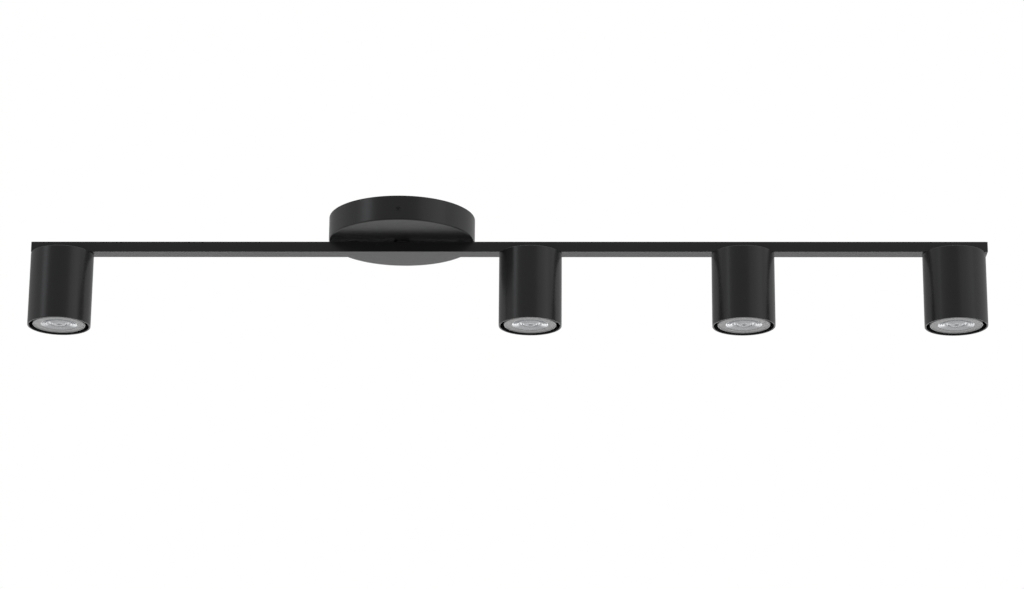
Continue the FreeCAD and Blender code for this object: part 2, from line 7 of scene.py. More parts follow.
import math

import bmesh
import bpy
from mathutils import Matrix, Vector


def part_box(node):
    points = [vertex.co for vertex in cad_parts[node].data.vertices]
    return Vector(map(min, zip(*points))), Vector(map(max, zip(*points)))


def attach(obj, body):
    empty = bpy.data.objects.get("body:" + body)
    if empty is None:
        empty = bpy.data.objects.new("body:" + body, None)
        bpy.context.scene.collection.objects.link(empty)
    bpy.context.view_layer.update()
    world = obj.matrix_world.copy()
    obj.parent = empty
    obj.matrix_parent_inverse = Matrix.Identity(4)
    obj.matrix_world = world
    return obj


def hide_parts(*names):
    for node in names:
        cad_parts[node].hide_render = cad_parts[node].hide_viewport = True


bl_info = {
    "name": "Ceiling Spotlight Bar",
    "version": (1, 0, 0),
    "blender": (4, 5, 0),
    "location": "3D View > Sidebar > Spotlight Bar",
    "description": "Builds the looks of a ceiling spotlight bar around its packed frame",
    "category": "Add Mesh",
}

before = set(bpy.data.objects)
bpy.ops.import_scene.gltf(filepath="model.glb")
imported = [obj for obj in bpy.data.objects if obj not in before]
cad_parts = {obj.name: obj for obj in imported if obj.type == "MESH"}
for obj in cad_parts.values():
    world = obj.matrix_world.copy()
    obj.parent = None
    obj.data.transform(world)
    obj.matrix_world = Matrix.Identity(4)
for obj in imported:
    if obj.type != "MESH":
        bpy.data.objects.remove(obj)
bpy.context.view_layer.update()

MM = 0.001
HEADS = (1, 2, 3, 4)
UP = Vector((0, 0, 1))


# ---- places read from the frame --------------------------------------------------------

def middle(node):
    """The centre of a node's box."""
    low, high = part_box(node)
    return (low + high) / 2


# ---- settings ----------------------------------------------------------------------------

def length(name, description, default):
    return bpy.props.FloatProperty(
        name=name, description=description, default=default, min=0.0, unit="LENGTH", precision=5)


def amount(name, description, default, high=1.0):
    return bpy.props.FloatProperty(name=name, description=description, default=default, min=0.0, max=high)


def colour(name, description, default):
    return bpy.props.FloatVectorProperty(
        name=name, description=description, default=default, size=3, min=0.0, max=1.0, subtype="COLOR")


def angle(name, description, default):
    return bpy.props.FloatProperty(
        name=name, description=description, default=math.radians(default), subtype="ANGLE")


class CanopySettings(bpy.types.PropertyGroup):
    wall: length("Wall", "Thickness of the canopy's wall and floor", 1.2 * MM)
    edge: length("Lower edge", "Radius of the lower outer edge", 1.2 * MM)
    inner_edge: length("Inner edge", "Radius of the corner between the floor and the wall", 0.3 * MM)
    lip: length("Upper lip", "Radius of the edges that meet the ceiling", 0.4 * MM)
    stem_hole: length("Stem hole", "Radius of the hole for the hollow stem", 5.1 * MM)
    screw_hole: length("Screw hole", "Radius of the two set screws' holes", 2.12 * MM)
    screw_length: length("Screw length", "Length of the two set screws", 7.0 * MM)
    screw_key: length("Screw key", "Distance across the flats of the set screws' sockets", 2.0 * MM)
    key_depth: length("Key depth", "Depth of the set screws' sockets", 0.8 * MM)


class StrapSettings(bpy.types.PropertyGroup):
    sheet: length("Sheet", "Thickness of the strap", 1.5 * MM)
    bend: length("Bend", "Outer radius of the bends", 2.2 * MM)
    corner: length("Corner", "Radius of the plate's corners", 2.5 * MM)
    tab: length("Tab", "Width of the bent tabs", 14.0 * MM)
    stem_hole: length("Stem hole", "Radius of the hole in the middle", 5.25 * MM)
    slot_width: length("Slot width", "Width of the two slots", 4.6 * MM)
    slot_length: length("Slot length", "Length of the two slots", 16.0 * MM)
    slot_spacing: length("Slot spacing", "Distance between the two slots' centres", 79.4 * MM)
    ground_hole: length("Ground hole", "Radius of the ground screw's hole", 1.8 * MM)
    thread: length("Thread", "Pitch of the hollow stem's thread", 1.0 * MM)
    thread_depth: length("Thread depth", "Depth of the hollow stem's thread", 0.4 * MM)
    stem_bore: length("Stem bore", "Radius of the hollow stem's bore", 3.5 * MM)
    flange: length("Flange", "Thickness of the hollow stem's flange", 1.1 * MM)
    nut_flats: length("Nut", "Distance across the flats of the stem's nut", 14.0 * MM)
    nut_chamfer: length("Nut chamfer", "Height of the nut's turned corners", 0.5 * MM)
    washer: length("Washer", "Thickness of the lock washer", 0.8 * MM)
    cap_wall: length("Cap wall", "Thickness of the twist-on connectors at the mouth", 1.4 * MM)
    rib: length("Rib", "Height of the ribs on the twist-on connectors", 0.3 * MM)


class RailSettings(bpy.types.PropertyGroup):
    wall: length("Wall", "Thickness of the channel's floor and sides", 1.0 * MM)
    edge: length("Edge", "Radius of the channel's outer edges", 0.3 * MM)
    cover: length("Cover", "Thickness of the cover strip", 0.8 * MM)
    ledge: length("Ledge", "Depth of the ledges that carry the cover", 0.9 * MM)
    ledge_height: length("Ledge height", "Height of the ledges that carry the cover", 0.6 * MM)
    stem_hole: length("Stem hole", "Radius of the holes for the heads' stems", 5.1 * MM)
    cap_plate: length("Cap plate", "Thickness of the end caps' plates", 1.5 * MM)
    plug_gap: length("Plug gap", "Gap between an end cap's plug and the channel", 0.1 * MM)


class HeadSettings(bpy.types.PropertyGroup):
    wall: length("Wall", "Thickness of the cylinder's wall", 1.5 * MM)
    top: length("Top", "Thickness of the closed top", 2.0 * MM)
    shoulder: length("Shoulder", "Radius of the top's outer edge", 0.8 * MM)
    rim: length("Rim", "Radius of the open rim's edges", 0.4 * MM)
    stem_hole: length("Stem hole", "Radius of the hole for the stem", 5.08 * MM)


class LampSettings(bpy.types.PropertyGroup):
    bezel: length("Bezel", "Width of the rim round the lens", 1.3 * MM)
    seat: length("Seat", "Depth of the lens's seat in the housing", 3.6 * MM)
    wall: length("Wall", "Thickness of the housing's wall", 1.4 * MM)
    rim: length("Rim", "Height of the straight band round the housing's mouth", 6.4 * MM)
    belly: length("Belly", "Radius of the housing's rounded middle", 22.5 * MM)
    belly_height: length("Belly height", "Height of the housing's rounded middle", 16.0 * MM)
    waist: length("Waist", "Radius where the housing meets its base", 15.0 * MM)
    waist_height: length("Waist height", "Height where the housing meets its base", 34.0 * MM)
    base: length("Base", "Radius of the housing's base", 12.0 * MM)
    optic: length("Optic", "Radius of the clear lens inside the flat window", 17.4 * MM)
    outer_rings: length("Outer rings", "Radius where the outer slanted rings begin", 11.2 * MM)
    inner_rings: length("Inner rings", "Radius where the inner slanted rings begin", 5.8 * MM)
    inner_rings_end: length("Inner rings end", "Radius where the inner slanted rings end", 9.8 * MM)
    ring_slope: angle("Ring slope", "Slant of the rings' faces", 33)
    pit: length("Pit", "Radius of the hollow in the middle of the lens", 3.0 * MM)
    pit_depth: length("Pit depth", "Depth of the hollow in the middle of the lens", 1.2 * MM)
    body_colour: colour("Housing", "Colour of the moulded housing", (0.55, 0.55, 0.55))
    window_colour: colour("Window", "Colour of the frosted window", (0.41, 0.41, 0.41))
    optic_colour: colour("Optic", "Colour of the ringed lens", (0.66, 0.67, 0.69))
    optic_shine: amount("Optic shine", "How much the ringed lens mirrors like metal", 0.5)


class CoatSettings(bpy.types.PropertyGroup):
    paint: colour("Paint", "Colour of the black powder coat", (0.0155, 0.0155, 0.0165))
    roughness: amount("Roughness", "Roughness of the powder coat", 0.25)
    grain: length("Grain", "Width of the coat's fine grain", 0.35 * MM)
    grain_height: length("Grain height", "Height of the coat's fine grain", 0.012 * MM)


class StageSettings(bpy.types.PropertyGroup):
    floor_drop: length("Floor", "Distance from the ceiling down to the floor", 3.4)
    floor_size: length("Floor size", "Width of the floor", 60.0)
    camera_place: bpy.props.FloatVectorProperty(
        name="Camera", description="Where the camera stands", default=(0.1731, -2.9315, -1.0107), size=3,
        subtype="TRANSLATION", unit="LENGTH")
    camera_pitch: angle("Pitch", "How far the camera looks up", 17.69)
    camera_yaw: angle("Yaw", "How far the camera looks to the left", 1.31)
    camera_roll: angle("Roll", "How far the camera leans", 0.43)
    camera_lens: amount("Lens", "Focal length in millimetres on a 36 mm wide sensor", 113.45, 500.0)
    side_light: amount("Side light", "Brightness of the room beside the object", 0.68, 10.0)
    rear_light: amount("Rear light", "Brightness of the room behind the object", 0.6, 10.0)
    left_drop: amount("Left drop", "How much dimmer the room is on the left", 0.12, 10.0)
    low_front_light: amount("Low front light", "Brightness of the room in front, below the object", 0.1, 10.0)
    high_front_light: amount("High front light", "Brightness of the room in front, higher up", 0.38, 10.0)
    back_light: amount("Back light", "Extra brightness along the horizon behind the object", 1.2, 10.0)
    back_corners: amount("Back corners", "Extra brightness behind, low on both sides", 0.9, 10.0)
    high_back_drop: amount("High back drop", "How much dimmer the room is behind, high up", 0.13, 10.0)
    left_panel_light: amount("Left panel", "Watts of the small soft panel near the left end", 0.1, 100.0)
    right_panel_light: amount("Right panel", "Watts of the large soft panel at the right", 1.8, 100.0)


GROUPS = {
    "canopy": CanopySettings,
    "strap": StrapSettings,
    "rail": RailSettings,
    "head": HeadSettings,
    "lamp": LampSettings,
    "coat": CoatSettings,
    "stage": StageSettings,
}


class SpotlightBarSettings(bpy.types.PropertyGroup):
    canopy: bpy.props.PointerProperty(type=CanopySettings, name="Canopy", description="The ceiling cup")
    strap: bpy.props.PointerProperty(type=StrapSettings, name="Strap", description="What the canopy covers")
    rail: bpy.props.PointerProperty(type=RailSettings, name="Rail", description="The bar under the canopy")
    head: bpy.props.PointerProperty(type=HeadSettings, name="Head", description="The cylinders")
    lamp: bpy.props.PointerProperty(type=LampSettings, name="Lamp", description="The spotlight lamps")
    coat: bpy.props.PointerProperty(type=CoatSettings, name="Coat", description="The black powder coat")
    stage: bpy.props.PointerProperty(type=StageSettings, name="Stage", description="Camera, floor and light")


# ---- shader maths ------------------------------------------------------------------------

class Value:
    """A shader socket. Adding, multiplying and so on add Math nodes."""

    def __init__(self, paint, socket):
        self.paint = paint
        self.socket = socket

    def _math(self, operation, *values):
        return self.paint.node("ShaderNodeMath", {"operation": operation}, *values)["Value"]

    def __add__(self, other):
        return self._math("ADD", self, other)

    def __radd__(self, other):
        return self._math("ADD", other, self)

    def __sub__(self, other):
        return self._math("SUBTRACT", self, other)

    def __rsub__(self, other):
        return self._math("SUBTRACT", other, self)

    def __mul__(self, other):
        return self._math("MULTIPLY", self, other)

    def __rmul__(self, other):
        return self._math("MULTIPLY", other, self)

    def __truediv__(self, other):
        return self._math("DIVIDE", self, other)

    def clamped(self):
        return self._math("MINIMUM", self._math("MAXIMUM", self, 0.0), 1.0)

    def step(self, low, high):
        """0 below low, 1 above high and smooth between them."""
        return self.paint.node(
            "ShaderNodeMapRange", {"interpolation_type": "SMOOTHSTEP"},
            self, low, high, 0.0, 1.0)["Result"]


class Node:
    """A shader node whose outputs are read by name."""

    def __init__(self, paint, made):
        self.paint = paint
        self.made = made

    def __getitem__(self, name):
        found = [socket for socket in self.made.outputs if socket.name == name and socket.enabled]
        return Value(self.paint, found[0])


class Paint:
    """A material, or the world, being built."""

    def __init__(self, owner):
        owner.use_nodes = True
        self.owner = owner
        self.tree = owner.node_tree
        self.tree.nodes.clear()

    def link(self, value, socket):
        if isinstance(value, Value):
            self.tree.links.new(value.socket, socket)
        elif value is not None:
            wanted = len(socket.default_value) if hasattr(socket.default_value, "__len__") else 1
            if wanted == 4 and len(value) == 3:
                value = (*value, 1.0)
            socket.default_value = value

    def node(self, kind, settings=None, *values, **named):
        """Adds a node: its settings first, then values or links for its inputs, in order or by name."""
        made = self.tree.nodes.new(kind)
        for name, value in (settings or {}).items():
            if name == "stops":
                ramp = made.color_ramp
                while len(ramp.elements) < len(value):
                    ramp.elements.new(1.0)
                for element, (position, shade) in zip(ramp.elements, value):
                    element.position = position
                    element.color = (*shade, 1.0)
            else:
                setattr(made, name, value)
        inputs = [socket for socket in made.inputs if socket.enabled]
        for value, socket in zip(values, inputs):
            self.link(value, socket)
        for name, value in named.items():
            wanted = name.replace("_", " ")
            socket = next(s for s in inputs if s.name.lower() == wanted.lower())
            self.link(value, socket)
        return Node(self, made)

    def place(self):
        """The point on the surface, in the object's own frame."""
        return self.node("ShaderNodeTexCoord")["Object"]

    def noise(self, vector, size, detail=2.0, roughness=0.5):
        """Soft noise, from 0 to 1, with features about size metres wide."""
        return self.node(
            "ShaderNodeTexNoise", None, vector=vector, scale=1.0 / size, detail=detail,
            roughness=roughness)["Fac"]

    def stretched(self, vector, scale):
        """The vector with each axis multiplied."""
        return self.node("ShaderNodeVectorMath", {"operation": "MULTIPLY"}, vector, scale)["Vector"]

    def mixed(self, share, first, second):
        return self.node(
            "ShaderNodeMix", {"data_type": "RGBA"}, factor=share, a=first, b=second)["Result"]

    def bump(self, height, distance, strength=1.0, normal=None):
        return self.node(
            "ShaderNodeBump", None, strength=strength, distance=distance, height=height,
            normal=normal)["Normal"]

    def surface(self, **sockets):
        """The Principled shader and the material's output."""
        shader = self.node("ShaderNodeBsdfPrincipled", None, **sockets)
        output = self.tree.nodes.new("ShaderNodeOutputMaterial")
        self.tree.links.new(shader.made.outputs["BSDF"], output.inputs["Surface"])
        return self.owner


def new_paint(name):
    return Paint(bpy.data.materials.new(name))


def once(make):
    """Makes a material the first time it is asked for, and gives the same one afterwards."""
    def wrapped(*values):
        key = f"{make.__name__}{values or ''}"
        if key not in once.made:
            once.made[key] = make(*values)
        return once.made[key]
    return wrapped


once.made = {}


def settings():
    return bpy.context.scene.spotlight_bar


# ---- finishes ----------------------------------------------------------------------------

@once
def powder_coat():
    """Fine-grained matte black powder coat, a little uneven in gloss, with a trace of dust."""
    coat = settings().coat
    paint = new_paint("powder_coat")
    place = paint.place()
    grain = paint.noise(place, coat.grain, 3.0, 0.55)
    flow = paint.noise(place, 6 * MM, 2.0)
    cloud = paint.noise(place, 45 * MM, 2.0)
    dust = paint.noise(place, 1.3 * MM, 4.0, 0.7).step(0.66, 0.78) * cloud.step(0.4, 0.7)
    base = paint.mixed(cloud, coat.paint, [min(1.0, part * 1.25) for part in coat.paint])
    base = paint.mixed(dust * 0.05, base, (0.32, 0.31, 0.3))
    roughness = coat.roughness + (flow - 0.5) * 0.06 + (grain - 0.5) * 0.08 + dust * 0.12
    normal = paint.bump(grain, coat.grain_height)
    normal = paint.bump(flow, 0.02 * MM, 1.0, normal)
    return paint.surface(
        base_color=base, roughness=roughness.clamped(), normal=normal, specular_ior_level=0.5)


@once
def moulded_plastic(name, tone, roughness):
    """Moulded plastic with a fine spark-eroded grain and slight shading."""
    paint = new_paint(name)
    place = paint.place()
    grain = paint.noise(place, 0.25 * MM, 2.0)
    cloud = paint.noise(place, 9 * MM, 2.0)
    base = paint.mixed(cloud, tone, [part * 0.86 for part in tone])
    rough = roughness + (cloud - 0.5) * 0.1 + (grain - 0.5) * 0.06
    return paint.surface(base_color=base, roughness=rough.clamped(), normal=paint.bump(grain, 0.01 * MM))


@once
def zinc_plate(name, tint):
    """Bright zinc plate: rolled sheet marks under a thin passivated film that shifts in colour."""
    paint = new_paint(name)
    place = paint.place()
    rolled = paint.noise(paint.stretched(place, (1.0, 0.06, 1.0)), 0.5 * MM, 3.0)
    cloud = paint.noise(place, 7 * MM, 3.0, 0.6)
    film = paint.node(
        "ShaderNodeValToRGB", {"stops": [(0.3, (0.62, 0.62, 0.58)), (0.5, (0.56, 0.58, 0.62)),
                                         (0.7, (0.66, 0.63, 0.56))]}, fac=cloud)["Color"]
    base = paint.node(
        "ShaderNodeMix", {"data_type": "RGBA", "blend_type": "MULTIPLY"}, factor=1.0, a=film,
        b=tint)["Result"]
    rough = 0.3 + (cloud - 0.5) * 0.18 + (rolled - 0.5) * 0.16
    return paint.surface(
        base_color=base, metallic=1.0, roughness=rough.clamped(), normal=paint.bump(rolled, 0.008 * MM))


def bright_zinc():
    return zinc_plate("zinc_plate", (1.0, 1.0, 1.0))


def black_nylon():
    return moulded_plastic("black_nylon", (0.02, 0.02, 0.02), 0.5)


def insulation(name):
    """The smooth coloured jacket of a wire."""
    tones = {"black": (0.02, 0.02, 0.02), "white": (0.75, 0.75, 0.73), "green": (0.05, 0.3, 0.09)}
    return moulded_plastic(f"{name}_insulation", tones[name], 0.35)


@once
def steatite():
    """Unglazed white ceramic with fine specks and pressed grain."""
    paint = new_paint("steatite")
    place = paint.place()
    specks = paint.noise(place, 0.5 * MM, 3.0, 0.6).step(0.62, 0.7)
    grain = paint.noise(place, 0.3 * MM, 3.0)
    base = paint.mixed(specks * 0.35, (0.78, 0.75, 0.69), (0.5, 0.46, 0.4))
    rough = 0.62 + (grain - 0.5) * 0.2
    return paint.surface(base_color=base, roughness=rough.clamped(), normal=paint.bump(grain, 0.03 * MM))


@once
def circuit_board():
    """White solder mask with faint copper tracks under it."""
    paint = new_paint("circuit_board")
    place = paint.place()
    tracks = paint.node(
        "ShaderNodeTexBrick", {"offset": 0.5}, vector=place, color1=(1, 1, 1), color2=(1, 1, 1),
        mortar=(0, 0, 0), scale=1.0 / (8 * MM), mortar_size=0.03)["Fac"]
    base = paint.mixed(tracks * 0.25, (0.83, 0.83, 0.8), (0.6, 0.58, 0.5))
    return paint.surface(base_color=base, roughness=0.4, normal=paint.bump(tracks, 0.03 * MM))


@once
def frosted_window():
    """The flat outer part of the lens: clear plastic frosted by small moulded dimples."""
    lamp = settings().lamp
    paint = new_paint("frosted_window")
    place = paint.place()
    dimples = paint.node(
        "ShaderNodeTexVoronoi", {"feature": "F1"}, vector=place, scale=1.0 / (1.1 * MM))["Distance"]
    frost = paint.noise(place, 0.3 * MM, 2.0)
    cloud = paint.noise(place, 5 * MM, 2.0)
    base = paint.mixed(cloud, lamp.window_colour, [part * 0.9 for part in lamp.window_colour])
    base = paint.mixed(dimples.step(0.2, 0.7) * 0.5, base, [part * 0.82 for part in lamp.window_colour])
    normal = paint.bump(dimples, 0.05 * MM, 0.8)
    normal = paint.bump(frost, 0.012 * MM, 0.7, normal)
    return paint.surface(
        base_color=base, roughness=(0.34 + (frost - 0.5) * 0.12).clamped(), normal=normal, ior=1.49,
        coat_weight=0.4, coat_roughness=0.2)


@once
def ringed_optic():
    """The lens inside the window: clear plastic whose bright inner faces mirror the room."""
    lamp = settings().lamp
    paint = new_paint("ringed_optic")
    across = paint.node("ShaderNodeAttribute", {"attribute_name": "across"})["Fac"]
    rings = paint.node("ShaderNodeMath", {"operation": "SINE"}, across / (0.1 * MM))["Value"]
    cloud = paint.noise(paint.place(), 3 * MM, 2.0)
    base = paint.mixed(cloud, lamp.optic_colour, [part * 0.88 for part in lamp.optic_colour])
    return paint.surface(
        base_color=base, metallic=lamp.optic_shine, roughness=(0.27 + (cloud - 0.5) * 0.06).clamped(),
        normal=paint.bump(rings, 0.01 * MM, 0.35), ior=1.58, coat_weight=0.5, coat_roughness=0.06)


# ---- mesh helpers ------------------------------------------------------------------------

def outline(corners, closed=True):
    """A wire of (radius, height, rounding) corners in the XZ plane, each rounded by its own radius."""
    bm = bmesh.new()
    points = [bm.verts.new((radius, 0, height)) for radius, height, _ in corners]
    for first, second in zip(points, points[1:]):
        bm.edges.new((first, second))
    if closed:
        bm.edges.new((points[-1], points[0]))
    by_size = {}
    for point, (_, _, rounding) in zip(points, corners):
        if rounding > 0:
            by_size.setdefault(rounding, []).append(point)
    for rounding, rounded in by_size.items():
        bmesh.ops.bevel(
            bm, geom=rounded, offset=rounding, offset_type="OFFSET", segments=5, profile=0.5,
            affect="VERTICES", material=-1)
    return bm


def spun(corners, closed=True, steps=128):
    """A solid turned about the Z axis from its outline."""
    bm = outline(corners, closed)
    bmesh.ops.spin(
        bm, geom=bm.verts[:] + bm.edges[:], axis=UP, cent=(0, 0, 0), angle=math.tau, steps=steps,
        use_merge=True)
    bmesh.ops.remove_doubles(bm, verts=bm.verts[:], dist=1e-7)
    bmesh.ops.recalc_face_normals(bm, faces=bm.faces[:])
    return bm


def pulled(section, start, run):
    """A solid made from an outline in the XZ plane: turned to face along X, then pulled from start."""
    turned(section, 90, "Z")
    moved(section, (start, 0, 0))
    face = bmesh.ops.contextual_create(section, geom=section.edges[:])["faces"]
    grown = bmesh.ops.extrude_face_region(section, geom=face)["geom"]
    ends = [item for item in grown if isinstance(item, bmesh.types.BMVert)]
    bmesh.ops.translate(section, verts=ends, vec=(run, 0, 0))
    bmesh.ops.recalc_face_normals(section, faces=section.faces[:])
    return section


def drum(radius, low, high, segments=64, centre=(0.0, 0.0)):
    """An upright cylinder or prism."""
    bm = bmesh.new()
    place = Matrix.Translation((centre[0], centre[1], (low + high) / 2))
    bmesh.ops.create_cone(
        bm, cap_ends=True, segments=segments, radius1=radius, radius2=radius, depth=high - low, matrix=place)
    return bm


def block(low, high):
    """A box between two corners."""
    bm = bmesh.new()
    low, high = Vector(low), Vector(high)
    place = Matrix.Translation((low + high) / 2) @ Matrix.Diagonal((*(high - low), 1.0))
    bmesh.ops.create_cube(bm, size=1.0, matrix=place)
    return bm


def edges_along(bm, axis):
    """The straight edges of a mesh that lie along an axis."""
    direction = Vector(axis)
    found = []
    for edge in bm.edges:
        run = (edge.verts[1].co - edge.verts[0].co).normalized()
        if abs(run.dot(direction)) > 0.999:
            found.append(edge)
    return found


def rounded(bm, edges, radius, segments=4):
    bmesh.ops.bevel(
        bm, geom=edges, offset=radius, offset_type="OFFSET", segments=segments, profile=0.5, affect="EDGES",
        material=-1, clamp_overlap=True)
    return bm


def moved(bm, offset):
    bmesh.ops.translate(bm, verts=bm.verts[:], vec=offset)
    return bm


def turned(bm, degrees, axis, centre=(0, 0, 0)):
    bmesh.ops.rotate(
        bm, verts=bm.verts[:], cent=centre, matrix=Matrix.Rotation(math.radians(degrees), 3, axis))
    return bm


def joined(*parts):
    """One bmesh that holds several."""
    whole = parts[0]
    for part in parts[1:]:
        holder = bpy.data.meshes.new("holder")
        part.to_mesh(holder)
        part.free()
        whole.from_mesh(holder)
        bpy.data.meshes.remove(holder)
    return whole


def shape_object(name, bm):
    mesh = bpy.data.meshes.new(name)
    bm.to_mesh(mesh)
    bm.free()
    piece = bpy.data.objects.new(name, mesh)
    bpy.context.scene.collection.objects.link(piece)
    return piece


def cut(bm, cutter, operation="DIFFERENCE"):
    """The first shape with the second one taken out of it, or combined in another way."""
    body = shape_object("cut_body", bm)
    tool = shape_object("cut_tool", cutter)
    boolean = body.modifiers.new("cut", "BOOLEAN")
    boolean.operation = operation
    boolean.solver = "EXACT"
    boolean.object = tool
    result = body.evaluated_get(bpy.context.evaluated_depsgraph_get()).to_mesh()
    whole = bmesh.new()
    whole.from_mesh(result)
    for scrap in (body, tool):
        mesh = scrap.data
        bpy.data.objects.remove(scrap)
        bpy.data.meshes.remove(mesh)
    return whole


def weigh_normals(piece):
    """Keeps large flat faces flat beside their rounded edges."""
    weighted = piece.modifiers.new("weighted", "WEIGHTED_NORMAL")
    weighted.keep_sharp = True
    first = piece.data
    shaded = piece.evaluated_get(bpy.context.evaluated_depsgraph_get())
    piece.data = bpy.data.meshes.new_from_object(shaded)
    piece.modifiers.clear()
    bpy.data.meshes.remove(first)
    piece.data.name = piece.name


def finished(name, bm, body, slot, replaced, *materials, smooth=35.0):
    """Makes a bmesh a piece of the object: smooth, painted, riding on its body."""
    piece = shape_object(name, bm)
    piece.data.shade_smooth()
    piece.data.set_sharp_from_angle(angle=math.radians(smooth))
    weigh_normals(piece)
    mesh = piece.data
    for material in materials:
        mesh.materials.append(material)
    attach(piece, body)
    if replaced:
        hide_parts(*replaced)
    return piece


def store_across(piece, centre):
    """Stores each point's distance from the lamp's axis."""
    distances = [math.hypot(vertex.co.x - centre.x, vertex.co.y - centre.y) for vertex in piece.data.vertices]
    attribute = piece.data.attributes.new("across", "FLOAT", "POINT")
    attribute.data.foreach_set("value", distances)


def paint_node(node, material):
    """Gives a CAD node a finish."""
    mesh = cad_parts[node].data
    mesh.materials.clear()
    mesh.materials.append(material)


# ---- operators -----------------------------------------------------------------------------

class SPOTBAR_OT_canopy(bpy.types.Operator):
    """Builds the canopy's cup and its two set screws"""

    bl_idname = "spotbar.canopy"
    bl_label = "Canopy"

    def execute(self, context):
        size = settings().canopy
        low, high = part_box("canopy_cup")
        radius = (high.x - low.x) / 2
        inner = radius - size.wall
        floor = low.z + size.wall
        cup = spun([
            (size.stem_hole, low.z, 0),
            (radius, low.z, size.edge),
            (radius, high.z, size.lip),
            (inner, high.z, size.lip),
            (inner, floor, size.inner_edge),
            (size.stem_hole, floor, 0),
        ], steps=192)
        screws_low, screws_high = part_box("canopy_screws")
        screw_z = (screws_low.z + screws_high.z) / 2
        across = drum(size.screw_hole, -radius * 1.1, radius * 1.1, 48)
        turned(across, 90, "X")
        moved(across, (0, 0, screw_z))
        finished("canopy", cut(cup, across), "canopy", "canopy_black", ["canopy_cup"], powder_coat())
        self.build_screws(size, screws_low, screws_high)
        return {"FINISHED"}

    def build_screws(self, size, low, high):
        """Two socket set screws, facing out of the front and the back."""
        radius = (high.x - low.x) / 2
        run = size.screw_length
        screw_z = (low.z + high.z) / 2
        screws = []
        for side in (-1, 1):
            screw = spun([(0, 0, 0), (radius, 0, 0), (radius, run, 0.35 * MM), (0, run, 0)], False, 48)
            key = drum(size.screw_key / 2 / math.cos(math.pi / 6), run - size.key_depth, run + MM, 6)
            screw = cut(screw, key)
            turned(screw, -90 * side, "X")
            face = high.y if side > 0 else low.y
            screws.append(moved(screw, (0, face - side * run, screw_z)))
        finished(
            "canopy_set_screws", joined(*screws), "canopy", "black_steel", ["canopy_screws"],
            moulded_plastic("black_oxide", (0.02, 0.02, 0.021), 0.42))


